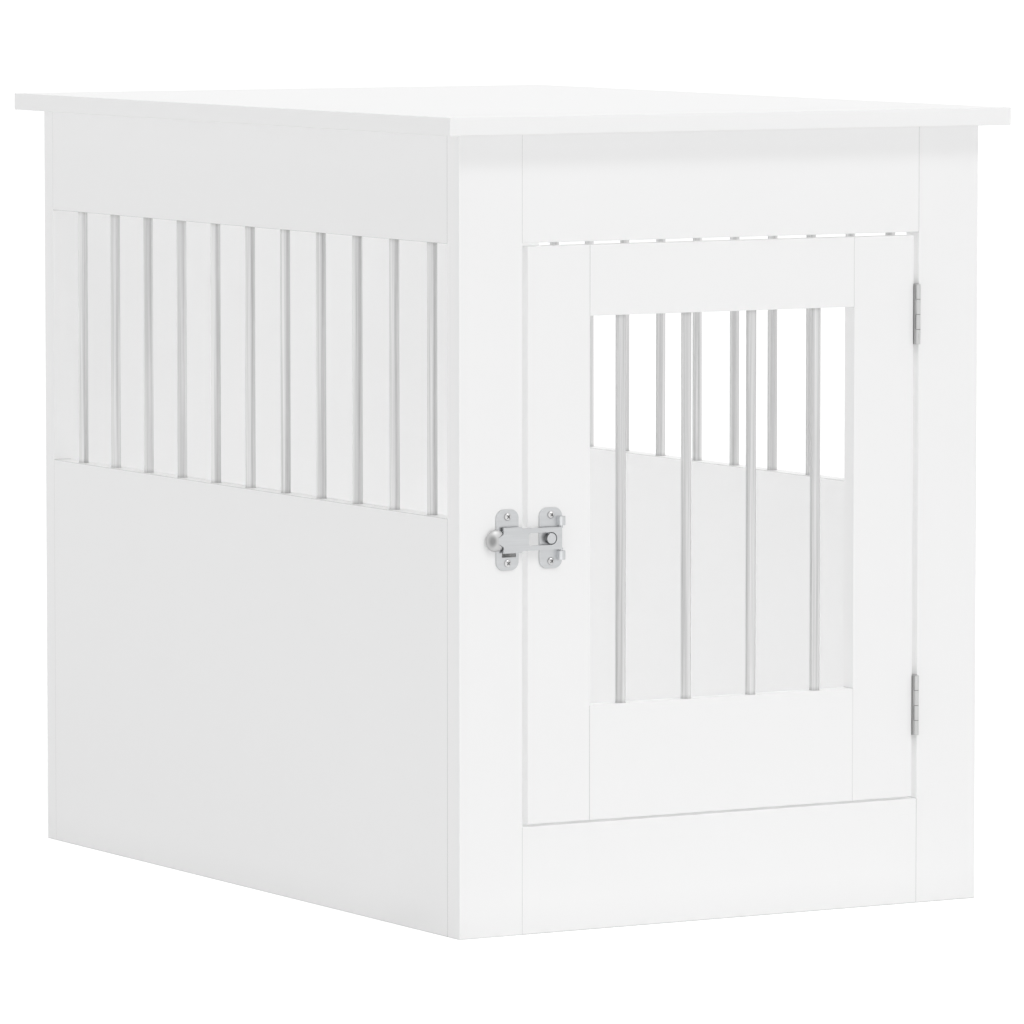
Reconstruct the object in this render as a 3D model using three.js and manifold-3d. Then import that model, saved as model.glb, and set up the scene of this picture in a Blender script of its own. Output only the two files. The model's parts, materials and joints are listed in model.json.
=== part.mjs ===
// Dog crate end table: a white cabinet of plain boards with round steel bars in
// its two sides and in its front door. Millimetres, +Z up, the front faces -Y.
// The origin is on the floor, under the middle of the top board.

import * as THREE from 'three';
import { mergeVertices } from 'three/addons/utils/BufferGeometryUtils.js';
import Module from 'manifold-3d';

const wasm = await Module();
wasm.setup();

// ---------------------------------------------------------------- dimensions

// Top board and overall height
const topWidth = 550;
const topDepth = 800;
const overallHeight = 680;
const topThickness = 15;
const topOverhang = 20;

// Boards of the cabinet: the front frame is thicker than the sides and the back
const frontThickness = 20;
const panelThickness = 17;
const legWidth = 60;
const frontTopRailHeight = 90;
const frontBottomRailHeight = 90;
const sideTopRailHeight = 90;
const sidePanelHeight = 348;
const floorThickness = 15;
const floorDrop = 10; // from the top of the front bottom rail down to the floor board

// Door
const doorThickness = 15;
const doorStileWidth = 60;
const doorTopRailHeight = 59;
const doorBottomRailHeight = 96;
const doorSideGap = 5;
const doorTopGap = 3;
const doorBottomGap = 2;

// Round bars
const barDiameter = 8.6;
const barSocketDepth = 10;
const barClearance = 0.3;
const sideBarCount = 11;
const sideBarEndSpace = 60; // from the cabinet's front or back face to the first bar's centre
const doorBarCount = 4;
const doorBarEndSpace = 34; // from a door stile to the first bar's centre

// Butt hinges
const hingeLength = 51;
const hingeTopInset = 67; // from the door's top edge to the middle of the upper hinge
const hingeBottomInset = 78.5; // from the door's bottom edge to the middle of the lower hinge
const hingeLeafThickness = 1.2;
const hingeLeafWidth = 12;
const hingeKnuckleCount = 4;
const hingeKnuckleSpacing = 0.4; // free height between two knuckles
const hingePinDiameter = 2.2;
const hingePinProud = 2.8; // how far the pin's centre lies in front of the door

// Running clearance of pins, trunnions, knuckles and screws
const runningClearance = 0.3;

// Latch: height of its middle above the floor, and its two plates
const latchHeight = 330;
const latchPlateHeight = 50;
const latchPlateThickness = 1.5;
const latchPlateCorner = 7;
const latchScrewSpacing = 38.6;
const keeperWidth = 21;
const keeperEdgeSpace = 4.5; // from the leg's inner edge to the keeper plate
const strapPlateWidth = 21.5;
const strapPlateEdgeSpace = 10.7; // from the door's free edge to the strap's plate

// Latch: swinging strap with its trunnions, the ears that hold them, and the post
const strapHeight = 18.6;
const strapThickness = 2;
const strapStandoff = 2.5; // free space between the plates and the strap
const strapHeadHeight = 21.4;
const strapHeadWidth = 17;
const strapHeadInset = 0.5; // the head stops this far inside the keeper's inner edge
const strapShoulder = 1;
const strapEndWidth = 5.2; // metal between the window and the trunnions' axis
const strapEndInset = 0.4; // the strap ends this far short of the trunnions' axis
const strapWindowMargin = 4; // metal above and below the strap's window
const strapWindowCorner = 2;
const strapNeckRootHeight = 11;
const strapNeckTipHeight = 5;
const strapNeckLength = 5;
const strapSlotStart = 6.8; // from the head to the near end of the window
const earDiameter = 6.2;
const earHeight = 7.4;
const earSpacing = 1.3; // free height between an ear and the strap
const earEdgeInset = 2.2; // from the plate's edge to the trunnions' axis
const trunnionDiameter = 2.2;
const trunnionRoot = 1; // how far a trunnion reaches into the strap
const postDiameter = 9.2;
const postLength = 5;
const postEdge = 0.5; // width and depth of the bevel round the post's front
const postSpigotDiameter = 5;
const postSpigotStop = 0.3;

// Latch: tongue behind the strap's head, and its slot in the keeper
const tongueWidth = 12;
const tongueThickness = 1.5;
const tongueStop = 0.3; // the tongue's tip stops this far from the leg
const tongueClearance = 0.6;
const tongueOffset = 1.3; // from the keeper's middle towards the door
const keeperSlotReach = 3.7; // the slot shows this far below the strap's head
const keeperRecessDepth = 5; // depth of the recess in the leg behind the slot

// Latch: domed knob on the strap's neck
const knobDiameter = 18.4;
const knobRise = 4.8; // from the knob's flat back to the top of its dome
const knobOverlap = 5.5; // from the knob's centre to its flat against the head
const knobBackSpace = 0.5; // from the keeper plate to the knob's flat back

// Latch screws
const screwHeadDiameter = 7;
const screwHeadHeight = 1.8;
const screwRimHeight = 0.3; // straight rim under the head's crown
const screwShankDiameter = 3;
const screwLength = 12;
const screwPointLength = 3;
const screwRecessWidth = 1;
const screwRecessSpan = 4;
const screwRecessDepth = 1.2;

// Facets of round work
const barSides = 16;
const pinSides = 24;
const arcSteps = 8;
const crownSteps = 4;
const knobSides = 32;
const knobRings = 20;

// Corners of one face that lie closer than this are one corner.
const weldDistance = 1e-5;

// ------------------------------------------------------------ derived planes

// Planes lie on a fine grid, so that boards that touch share exactly one plane.
const gridSteps = 1024;
const onGrid = (value) => Math.round(value * gridSteps) / gridSteps;

const cabinetTop = onGrid(overallHeight - topThickness);
const leftSide = onGrid(-topWidth / 2 + topOverhang);
const rightSide = onGrid(topWidth / 2 - topOverhang);
const frontFace = onGrid(-topDepth / 2 + topOverhang);
const backFace = onGrid(topDepth / 2 - topOverhang);
const frontInner = onGrid(frontFace + frontThickness);
const backInner = onGrid(backFace - panelThickness);
const leftInner = onGrid(leftSide + panelThickness);
const rightInner = onGrid(rightSide - panelThickness);
const leftLegEdge = onGrid(leftSide + legWidth);
const rightLegEdge = onGrid(rightSide - legWidth);
const frontTopRailBase = onGrid(cabinetTop - frontTopRailHeight);
const sideTopRailBase = onGrid(cabinetTop - sideTopRailHeight);
const sidePanelTop = onGrid(sidePanelHeight);
const bottomRailTop = onGrid(frontBottomRailHeight);
const floorTop = onGrid(bottomRailTop - floorDrop);
const floorBase = onGrid(floorTop - floorThickness);

const doorLeft = onGrid(leftLegEdge + doorSideGap);
const doorRight = onGrid(rightLegEdge - doorSideGap);
const doorBase = onGrid(bottomRailTop + doorBottomGap);
const doorTop = onGrid(frontTopRailBase - doorTopGap);
const doorBack = onGrid(frontFace + doorThickness);
const doorOpeningLeft = onGrid(doorLeft + doorStileWidth);
const doorOpeningRight = onGrid(doorRight - doorStileWidth);
const doorOpeningBase = onGrid(doorBase + doorBottomRailHeight);
const doorOpeningTop = onGrid(doorTop - doorTopRailHeight);

const barRadius = barDiameter / 2;
const barSocketRadius = barRadius + barClearance;

const hingeX = (doorRight + rightLegEdge) / 2;
const hingeY = frontFace - hingePinProud;
const hingeKnuckleRadius = doorSideGap / 2 - runningClearance;
const hingeBoreRadius = hingePinDiameter / 2 + runningClearance;

const keeperX = leftLegEdge - keeperEdgeSpace - keeperWidth / 2;
const strapPlateX = doorLeft + strapPlateEdgeSpace + strapPlateWidth / 2;
const plateFront = frontFace - latchPlateThickness;
const trunnionX = strapPlateX + strapPlateWidth / 2 - earEdgeInset;
const trunnionY = plateFront - earDiameter / 2;
const strapBack = plateFront - strapStandoff;
const strapHeadRight = keeperX + keeperWidth / 2 + strapHeadInset;
const strapHeadLeft = strapHeadRight - strapHeadWidth;
const strapWindowHalf = strapHeight / 2 - strapWindowMargin;
const postX = trunnionX - strapEndWidth - strapWindowHalf;
const keeperSlotHalf = tongueWidth / 2 + tongueClearance;
const keeperSlotBase = -strapHeadHeight / 2 - keeperSlotReach;
const keeperSlotTop = -strapHeadHeight / 2 + tongueThickness + tongueClearance;

// ----------------------------------------------------------------- materials

const finish = (color, roughness, metalness) =>
  new THREE.MeshStandardMaterial({ color, roughness, metalness });

const whiteBoard = () => finish(0xf2f2f2, 0.5, 0);
const barSteel = () => finish(0xc4c6c8, 0.3, 1);
const hingeSteel = () => finish(0xb9bbbd, 0.35, 1);
const latchSteel = () => finish(0xc9cbcc, 0.35, 1);
const screwSteel = () => finish(0xd2d3d4, 0.3, 1);

// ------------------------------------------------------------------- helpers

function toSolid(geometry) {
  const bare = new THREE.BufferGeometry();
  bare.setAttribute('position', geometry.getAttribute('position').clone());
  if (geometry.index) {
    bare.setIndex(geometry.index.clone());
  }
  const merged = mergeVertices(bare, weldDistance);
  return new wasm.Manifold(new wasm.Mesh({
    numProp: 3,
    vertProperties: new Float32Array(merged.getAttribute('position').array),
    triVerts: new Uint32Array(merged.index.array),
  }));
}

function toGeometry(solid) {
  const mesh = solid.getMesh();
  const geometry = new THREE.BufferGeometry();
  geometry.setAttribute('position', new THREE.BufferAttribute(mesh.vertProperties, 3));
  geometry.setIndex(new THREE.BufferAttribute(mesh.triVerts, 1));
  geometry.computeVertexNormals();
  return geometry;
}

function joined(first, ...others) {
  return others.reduce((whole, other) => whole.add(toSolid(other)), toSolid(first));
}

function cut(solid, tools) {
  return tools.reduce((whole, tool) => whole.subtract(toSolid(tool)), solid);
}

function piece(name, geometry, material, position) {
  const mesh = new THREE.Mesh(geometry, material);
  mesh.name = name;
  mesh.position.set(...position);
  return mesh;
}

function block(x0, x1, y0, y1, z0, z1) {
  const geometry = new THREE.BoxGeometry(x1 - x0, y1 - y0, z1 - z0);
  return geometry.translate((x0 + x1) / 2, (y0 + y1) / 2, (z0 + z1) / 2);
}

// A board between two corners. Its mesh sits at the board's centre, and the cuts
// are given in the cabinet's own coordinates.
function board(name, x0, x1, y0, y1, z0, z1, cuts = []) {
  const centre = [(x0 + x1) / 2, (y0 + y1) / 2, (z0 + z1) / 2];
  const plain = new THREE.BoxGeometry(x1 - x0, y1 - y0, z1 - z0);
  if (cuts.length === 0) {
    return piece(name, plain, whiteBoard(), centre);
  }
  const tools = cuts.map((tool) => tool.translate(-centre[0], -centre[1], -centre[2]));
  return piece(name, toGeometry(cut(toSolid(plain), tools)), whiteBoard(), centre);
}

// An upright round bar or hole between two heights.
function upright(radius, x, y, z0, z1, sides) {
  const geometry = new THREE.CylinderGeometry(radius, radius, z1 - z0, sides);
  return geometry.rotateX(Math.PI / 2).translate(x, y, (z0 + z1) / 2);
}

// A round hole that runs back from a front face.
function frontHole(radius, x, z, y0, y1, sides) {
  const geometry = new THREE.CylinderGeometry(radius, radius, y1 - y0, sides);
  return geometry.translate(x, (y0 + y1) / 2, z);
}

function evenSteps(first, last, count) {
  const step = count > 1 ? (last - first) / (count - 1) : 0;
  return Array.from({ length: count }, (unused, index) => first + index * step);
}

function roundedRectangle(halfWidth, halfHeight, radius) {
  const shape = new THREE.Shape();
  const x = halfWidth - radius;
  const y = halfHeight - radius;
  shape.absarc(x, y, radius, 0, Math.PI / 2);
  shape.absarc(-x, y, radius, Math.PI / 2, Math.PI);
  shape.absarc(-x, -y, radius, Math.PI, 1.5 * Math.PI);
  shape.absarc(x, -y, radius, 1.5 * Math.PI, 2 * Math.PI);
  shape.closePath();
  return shape;
}

function roundHole(x, y, radius) {
  const hole = new THREE.Path();
  hole.absarc(x, y, radius, 0, 2 * Math.PI, true);
  return hole;
}

// Sheet metal that stands upright: the shape's y is up, and its back is at y = 0.
function sheet(shape, thickness) {
  const options = { depth: thickness, bevelEnabled: false, curveSegments: arcSteps };
  return new THREE.ExtrudeGeometry(shape, options).rotateX(Math.PI / 2);
}

// ------------------------------------------------------------- bars and rows

function barPlaces(side) {
  const first = frontFace + sideBarEndSpace;
  const last = backFace - sideBarEndSpace;
  const x = side === 'left' ? (leftSide + leftInner) / 2 : (rightInner + rightSide) / 2;
  return evenSteps(first, last, sideBarCount).map((y) => [x, y]);
}

function doorBarPlaces() {
  const first = doorOpeningLeft + doorBarEndSpace;
  const last = doorOpeningRight - doorBarEndSpace;
  const y = (frontFace + doorBack) / 2;
  return evenSteps(first, last, doorBarCount).map((x) => [x, y]);
}

// Tools for the blind sockets in a board's edge face at height z.
function sockets(places, z) {
  return places.map(([x, y]) => upright(barSocketRadius, x, y, z - barSocketDepth,
    z + barSocketDepth, barSides));
}

function bars(prefix, places, openingBase, openingTop) {
  const reach = barSocketDepth - barClearance;
  const length = openingTop - openingBase + 2 * reach;
  return places.map(([x, y], index) => {
    const geometry = new THREE.CylinderGeometry(barRadius, barRadius, length, barSides);
    const name = `${prefix}_${String(index + 1).padStart(2, '0')}`;
    const centre = [x, y, (openingBase + openingTop) / 2];
    return piece(name, geometry.rotateX(Math.PI / 2), barSteel(), centre);
  });
}

// -------------------------------------------------------------------- cabinet

function topPanel() {
  const x = onGrid(topWidth / 2);
  const y = onGrid(topDepth / 2);
  return board('top_panel', -x, x, -y, y, cabinetTop, onGrid(overallHeight));
}

function screwHeights() {
  return [-1, 1].map((side) => latchHeight + side * latchScrewSpacing / 2);
}

function pilotHoles(x) {
  const radius = screwShankDiameter / 2 + runningClearance;
  const depth = screwLength - latchPlateThickness + runningClearance;
  const start = frontFace - depth;
  return screwHeights().map((z) => frontHole(radius, x, z, start, frontFace + depth, barSides));
}

// Recess in the left leg behind the keeper's slot.
function keeperRecess() {
  const x = keeperX + tongueOffset;
  return block(x - keeperSlotHalf, x + keeperSlotHalf, frontFace - keeperRecessDepth,
    frontFace + keeperRecessDepth, latchHeight + keeperSlotBase, latchHeight + keeperSlotTop);
}

function frontFrame() {
  return [
    board('front_left_leg', leftSide, leftLegEdge, frontFace, frontInner, 0, cabinetTop,
      [...pilotHoles(keeperX), keeperRecess()]),
    board('front_right_leg', rightLegEdge, rightSide, frontFace, frontInner, 0, cabinetTop),
    board('front_top_rail', leftLegEdge, rightLegEdge, frontFace, frontInner,
      frontTopRailBase, cabinetTop),
    board('front_bottom_rail', leftLegEdge, rightLegEdge, frontFace, frontInner,
      0, bottomRailTop),
  ];
}

function sideBoards(side) {
  const x0 = side === 'left' ? leftSide : rightInner;
  const x1 = side === 'left' ? leftInner : rightSide;
  const places = barPlaces(side);
  return [
    board(`${side}_top_rail`, x0, x1, frontInner, backInner, sideTopRailBase, cabinetTop,
      sockets(places, sideTopRailBase)),
    board(`${side}_lower_panel`, x0, x1, frontInner, backInner, 0, sidePanelTop,
      sockets(places, sidePanelTop)),
    ...bars(`${side}_bar`, places, sidePanelTop, sideTopRailBase),
  ];
}

function backPanel() {
  return board('back_panel', leftSide, rightSide, backInner, backFace, 0, cabinetTop);
}

function floorPanel() {
  return board('floor_panel', leftInner, rightInner, frontInner, backInner, floorBase, floorTop);
}

// ----------------------------------------------------------------------- door

function doorBoards() {
  const places = doorBarPlaces();
  return [
    board('door_left_stile', doorLeft, doorOpeningLeft, frontFace, doorBack, doorBase, doorTop,
      pilotHoles(strapPlateX)),
    board('door_right_stile', doorOpeningRight, doorRight, frontFace, doorBack,
      doorBase, doorTop),
    board('door_top_rail', doorOpeningLeft, doorOpeningRight, frontFace, doorBack,
      doorOpeningTop, doorTop, sockets(places, doorOpeningTop)),
    board('door_bottom_rail', doorOpeningLeft, doorOpeningRight, frontFace, doorBack,
      doorBase, doorOpeningBase, sockets(places, doorOpeningBase)),
    ...bars('door_bar', places, doorOpeningBase, doorOpeningTop),
  ];
}

// --------------------------------------------------------------------- hinges

// Heights of the knuckles of one hinge, from the top down, about its middle.
function knuckleSpans() {
  const pitch = (hingeLength + hingeKnuckleSpacing) / hingeKnuckleCount;
  return Array.from({ length: hingeKnuckleCount }, (unused, index) => {
    const top = hingeLength / 2 - index * pitch;
    return [top - pitch + hingeKnuckleSpacing, top];
  });
}

// One leaf about the hinge pin. Its plate lies against the board on that side,
// and it is cleared round the knuckles of the other leaf.
function hingeLeaf(name, boardSide, ownKnuckles, z) {
  const outer = boardSide * doorSideGap / 2;
  const inner = outer - boardSide * hingeLeafThickness;
  const plate = block(Math.min(outer, inner), Math.max(outer, inner), 0,
    hingePinProud + hingeLeafWidth, -hingeLength / 2, hingeLength / 2);
  const spans = knuckleSpans();
  const own = spans.filter((unused, index) => index % 2 === ownKnuckles);
  const other = spans.filter((unused, index) => index % 2 !== ownKnuckles);
  const knuckles = own.map(([z0, z1]) => upright(hingeKnuckleRadius, 0, 0, z0, z1, pinSides));
  const clearRadius = hingeKnuckleRadius + runningClearance;
  const clearings = other.map(([z0, z1]) => upright(clearRadius, 0, 0,
    z0 - hingeKnuckleSpacing, z1 + hingeKnuckleSpacing, pinSides));
  const bore = upright(hingeBoreRadius, 0, 0, -hingeLength, hingeLength, pinSides);
  const cleared = cut(toSolid(plate), clearings);
  const whole = knuckles.reduce((solid, knuckle) => solid.add(toSolid(knuckle)), cleared);
  const geometry = toGeometry(cut(whole, [bore]));
  return piece(name, geometry, hingeSteel(), [hingeX, hingeY, z]);
}

function hingePin(name, z) {
  const pin = upright(hingePinDiameter / 2, 0, 0, -hingeLength / 2, hingeLength / 2, pinSides);
  return piece(name, pin, hingeSteel(), [hingeX, hingeY, z]);
}

const legKnuckles = 0;
const doorKnuckles = 1;
const upperHingeHeight = doorTop - hingeTopInset;
const lowerHingeHeight = doorBase + hingeBottomInset;

// ---------------------------------------------------------------------- latch

function screw(name, x, z) {
  const headRadius = screwHeadDiameter / 2;
  const shankRadius = screwShankDiameter / 2;
  const crownHeight = screwHeadHeight - screwRimHeight;
  const crown = evenSteps(0, Math.PI / 2, crownSteps + 1).map((angle) =>
    [headRadius * Math.sin(angle), -screwRimHeight - crownHeight * Math.cos(angle)]);
  const profile = [
    ...crown,
    [headRadius, 0],
    [shankRadius, 0],
    [shankRadius, screwLength - screwPointLength],
    [0, screwLength],
  ];
  const points = profile.map(([r, y]) => new THREE.Vector2(r, y));
  const body = toSolid(new THREE.LatheGeometry(points, barSides));
  const arm = screwRecessSpan / 2;
  const half = screwRecessWidth / 2;
  const base = screwRecessDepth - screwHeadHeight;
  const slots = [
    block(-arm, arm, -2 * screwHeadHeight, base, -half, half),
    block(-half, half, -2 * screwHeadHeight, base, -arm, arm),
  ];
  return piece(name, toGeometry(cut(body, slots)), screwSteel(), [x, plateFront, z]);
}

function screwPair(prefix, x) {
  const [lower, upper] = screwHeights();
  return [screw(`${prefix}_upper_screw`, x, upper), screw(`${prefix}_lower_screw`, x, lower)];
}

function screwHoles() {
  const radius = screwShankDiameter / 2 + runningClearance;
  return [-1, 1].map((side) => roundHole(0, side * latchScrewSpacing / 2, radius));
}

// Keeper plate on the leg, with the slot that takes the strap's tongue.
function keeperPlate() {
  const shape = roundedRectangle(keeperWidth / 2, latchPlateHeight / 2, latchPlateCorner);
  const slot = new THREE.Path();
  slot.moveTo(tongueOffset - keeperSlotHalf, keeperSlotBase);
  slot.lineTo(tongueOffset - keeperSlotHalf, keeperSlotTop);
  slot.lineTo(tongueOffset + keeperSlotHalf, keeperSlotTop);
  slot.lineTo(tongueOffset + keeperSlotHalf, keeperSlotBase);
  slot.closePath();
  shape.holes.push(...screwHoles(), slot);
  const plate = sheet(shape, latchPlateThickness);
  return piece('latch_keeper', toGeometry(toSolid(plate)), latchSteel(),
    [keeperX, frontFace, latchHeight]);
}

function earSpans() {
  const start = strapHeight / 2 + earSpacing;
  return [[start, start + earHeight], [-start - earHeight, -start]];
}

// Plate on the door, with two ears at its edge that hold the strap's trunnions.
function strapPlate() {
  const shape = roundedRectangle(strapPlateWidth / 2, latchPlateHeight / 2, latchPlateCorner);
  const postHoleRadius = postSpigotDiameter / 2 + runningClearance;
  shape.holes.push(...screwHoles(), roundHole(postX - strapPlateX, 0, postHoleRadius));
  const x = trunnionX - strapPlateX;
  const y = trunnionY - frontFace;
  const radius = earDiameter / 2;
  const feet = earSpans().map(([z0, z1]) => block(x - radius, x + radius, y, 0, z0, z1));
  const crowns = earSpans().map(([z0, z1]) => upright(radius, x, y, z0, z1, pinSides));
  const bore = upright(trunnionDiameter / 2 + runningClearance, x, y, -latchPlateHeight,
    latchPlateHeight, pinSides);
  const whole = joined(sheet(shape, latchPlateThickness), ...feet, ...crowns);
  return piece('latch_plate', toGeometry(cut(whole, [bore])), latchSteel(),
    [strapPlateX, frontFace, latchHeight]);
}

function latchPost() {
  const radius = postDiameter / 2;
  const spigotRadius = postSpigotDiameter / 2;
  const profile = [
    [0, -postLength],
    [radius - postEdge, -postLength],
    [radius, postEdge - postLength],
    [radius, 0],
    [spigotRadius, 0],
    [spigotRadius, latchPlateThickness - postSpigotStop],
    [0, latchPlateThickness - postSpigotStop],
  ];
  const points = profile.map(([r, y]) => new THREE.Vector2(r, y));
  const geometry = new THREE.LatheGeometry(points, pinSides);
  return piece('latch_post', toGeometry(toSolid(geometry)), latchSteel(),
    [postX, plateFront, latchHeight]);
}

// A shape that is the same above and below y = 0, from its upper corners.
function mirroredShape(upper) {
  const lower = upper.map(([x, y]) => [x, -y]).reverse();
  const points = [...upper, ...lower].map(([x, y]) => new THREE.Vector2(x, y));
  return new THREE.Shape(points);
}

// Outline of the strap, with x from the trunnions' axis: bar, shoulders, head and neck.
function strapOutline() {
  const barHalf = strapHeight / 2;
  const headHalf = strapHeadHeight / 2;
  const headRight = strapHeadRight - trunnionX;
  const headLeft = strapHeadLeft - trunnionX;
  return mirroredShape([
    [-strapEndInset, barHalf],
    [headRight + strapShoulder, barHalf],
    [headRight, headHalf],
    [headLeft, headHalf],
    [headLeft, strapNeckRootHeight / 2],
    [headLeft - strapNeckLength, strapNeckTipHeight / 2],
  ]);
}

// Window of the strap: it clears the post at its round end.
function strapWindow() {
  const half = strapWindowHalf;
  const right = postX - trunnionX;
  const left = strapHeadRight + strapSlotStart - trunnionX + strapWindowCorner;
  const corner = half - strapWindowCorner;
  const hole = new THREE.Path();
  hole.absarc(right, 0, half, -Math.PI / 2, Math.PI / 2);
  hole.absarc(left, corner, strapWindowCorner, Math.PI / 2, Math.PI);
  hole.absarc(left, -corner, strapWindowCorner, Math.PI, 1.5 * Math.PI);
  hole.closePath();
  return hole;
}

function latchStrap() {
  const shape = strapOutline();
  shape.holes.push(strapWindow());
  const back = strapBack - trunnionY;
  const flat = sheet(shape, strapThickness).translate(0, back, 0);
  const root = strapHeight / 2 - trunnionRoot;
  const reach = strapHeight / 2 + earSpacing + earHeight;
  const trunnions = [[-reach, -root], [root, reach]].map(([z0, z1]) =>
    upright(trunnionDiameter / 2, 0, 0, z0, z1, pinSides));
  const tongueX = keeperX + tongueOffset - trunnionX;
  const tongueTip = frontFace - tongueStop - trunnionY;
  const tongueBase = -strapHeadHeight / 2;
  const tongue = block(tongueX - tongueWidth / 2, tongueX + tongueWidth / 2,
    back - strapThickness / 2, tongueTip, tongueBase, tongueBase + tongueThickness);
  return piece('latch_strap', toGeometry(joined(flat, ...trunnions, tongue)), latchSteel(),
    [trunnionX, trunnionY, latchHeight]);
}

// Domed knob with a flat back, flat towards the head, with an open slot for the neck.
function latchKnob() {
  const radius = knobDiameter / 2;
  const backPlane = plateFront - knobBackSpace;
  const centreX = strapHeadLeft - runningClearance - knobOverlap;
  const gap = runningClearance;
  const dome = new THREE.SphereGeometry(radius, knobSides, knobRings);
  dome.scale(1, knobRise / radius, 1);
  const neckLeft = strapHeadLeft - strapNeckLength - centreX;
  const neckRight = strapHeadLeft - centreX;
  const slotOutline = mirroredShape([
    [neckLeft - gap, strapNeckTipHeight / 2 + gap],
    [neckRight, strapNeckRootHeight / 2 + gap],
  ]);
  const slotBack = strapBack + gap - backPlane;
  const tools = [
    block(-radius - gap, radius + gap, 0, radius, -radius - gap, radius + gap),
    block(knobOverlap, radius + gap, -radius, radius, -radius - gap, radius + gap),
    sheet(slotOutline, knobRise).translate(0, slotBack, 0),
  ];
  return piece('latch_knob', toGeometry(cut(toSolid(dome), tools)), latchSteel(),
    [centreX, backPlane, latchHeight]);
}

// ------------------------------------------------------------------- assembly

const cabinet = new THREE.Group();
cabinet.add(
  topPanel(),
  ...frontFrame(),
  ...sideBoards('left'),
  ...sideBoards('right'),
  backPanel(),
  floorPanel(),
  hingeLeaf('upper_hinge_leg_leaf', 1, legKnuckles, upperHingeHeight),
  hingeLeaf('lower_hinge_leg_leaf', 1, legKnuckles, lowerHingeHeight),
  hingePin('upper_hinge_pin', upperHingeHeight),
  hingePin('lower_hinge_pin', lowerHingeHeight),
  keeperPlate(),
  ...screwPair('keeper', keeperX),
);

const latchArm = new THREE.Group();
latchArm.add(latchStrap(), latchKnob());

const door = new THREE.Group();
door.add(
  ...doorBoards(),
  hingeLeaf('upper_hinge_door_leaf', -1, doorKnuckles, upperHingeHeight),
  hingeLeaf('lower_hinge_door_leaf', -1, doorKnuckles, lowerHingeHeight),
  strapPlate(),
  latchPost(),
  ...screwPair('latch_plate', strapPlateX),
  latchArm,
);

const crate = new THREE.Group();
crate.name = 'dog_crate_end_table';
crate.add(cabinet, door);

export default crate;
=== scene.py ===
"""White dog crate that is also an end table: the finish of its boards, bars, hinges and latch.

Metres, +Z up, the door faces -Y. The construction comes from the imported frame.
"""

import json
import math

import bmesh
import bpy
from mathutils import Matrix, Vector


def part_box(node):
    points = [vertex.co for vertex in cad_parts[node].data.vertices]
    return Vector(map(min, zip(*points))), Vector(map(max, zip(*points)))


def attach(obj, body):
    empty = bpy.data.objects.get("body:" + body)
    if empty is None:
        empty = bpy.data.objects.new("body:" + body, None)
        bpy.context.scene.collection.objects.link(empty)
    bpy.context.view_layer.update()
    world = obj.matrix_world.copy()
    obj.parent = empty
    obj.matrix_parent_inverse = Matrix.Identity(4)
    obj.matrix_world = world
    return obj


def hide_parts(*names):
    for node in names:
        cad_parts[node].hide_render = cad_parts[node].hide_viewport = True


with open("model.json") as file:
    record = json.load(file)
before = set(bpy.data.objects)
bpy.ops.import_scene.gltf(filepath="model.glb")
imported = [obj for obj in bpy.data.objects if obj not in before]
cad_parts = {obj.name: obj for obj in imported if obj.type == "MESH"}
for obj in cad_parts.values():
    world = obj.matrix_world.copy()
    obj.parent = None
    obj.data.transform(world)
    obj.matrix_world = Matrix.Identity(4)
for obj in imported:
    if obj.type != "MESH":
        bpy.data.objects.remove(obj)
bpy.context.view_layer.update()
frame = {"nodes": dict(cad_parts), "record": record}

bl_info = {
    "name": "Dog Crate End Table",
    "version": (1, 0, 0),
    "blender": (4, 5, 0),
    "location": "View3D > Sidebar > Dog Crate",
    "description": "Finishes the crate's boards, bars, hinges and latch, and sets up its studio",
    "category": "Object",
}

MM = 0.001

LATCH_ARM = "latch_arm"

DOOR_BOARDS = ("door_left_stile", "door_right_stile", "door_top_rail", "door_bottom_rail")
LEG_LEAVES = ("upper_hinge_leg_leaf", "lower_hinge_leg_leaf")
DOOR_LEAVES = ("upper_hinge_door_leaf", "lower_hinge_door_leaf")
HINGE_PINS = ("upper_hinge_pin", "lower_hinge_pin")
SIDE_BOARDS = ("left_top_rail", "left_lower_panel", "right_top_rail", "right_lower_panel")
BOLT_LEG = "front_left_leg"
BOLT_HOLE = (-208.7 * MM, -377 * MM, 318.5 * MM)  # middle of the painted shade in the recess behind the keeper's slot
BOLT_HOLE_REACH = (11 * MM, 14 * MM, 9 * MM)
BOLT_HOLE_SHADE = 0.7
LATCH_SHEETS = ("latch_keeper", "latch_plate", "latch_strap")


def nodes_of_slot(slot):
    """Names of the frame's nodes that take their finish from one slot of the record."""
    return [row["node"] for row in frame["record"]["subparts"] if row["material_slot"] == slot]


def body_of_node(node):
    """The body that a node of the frame belongs to."""
    bodies = frame["record"]["behaviour"]["bodies"]
    return next(body for body, members in bodies.items() if node in members)


# ------------------------------------------------------------------ properties


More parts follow.
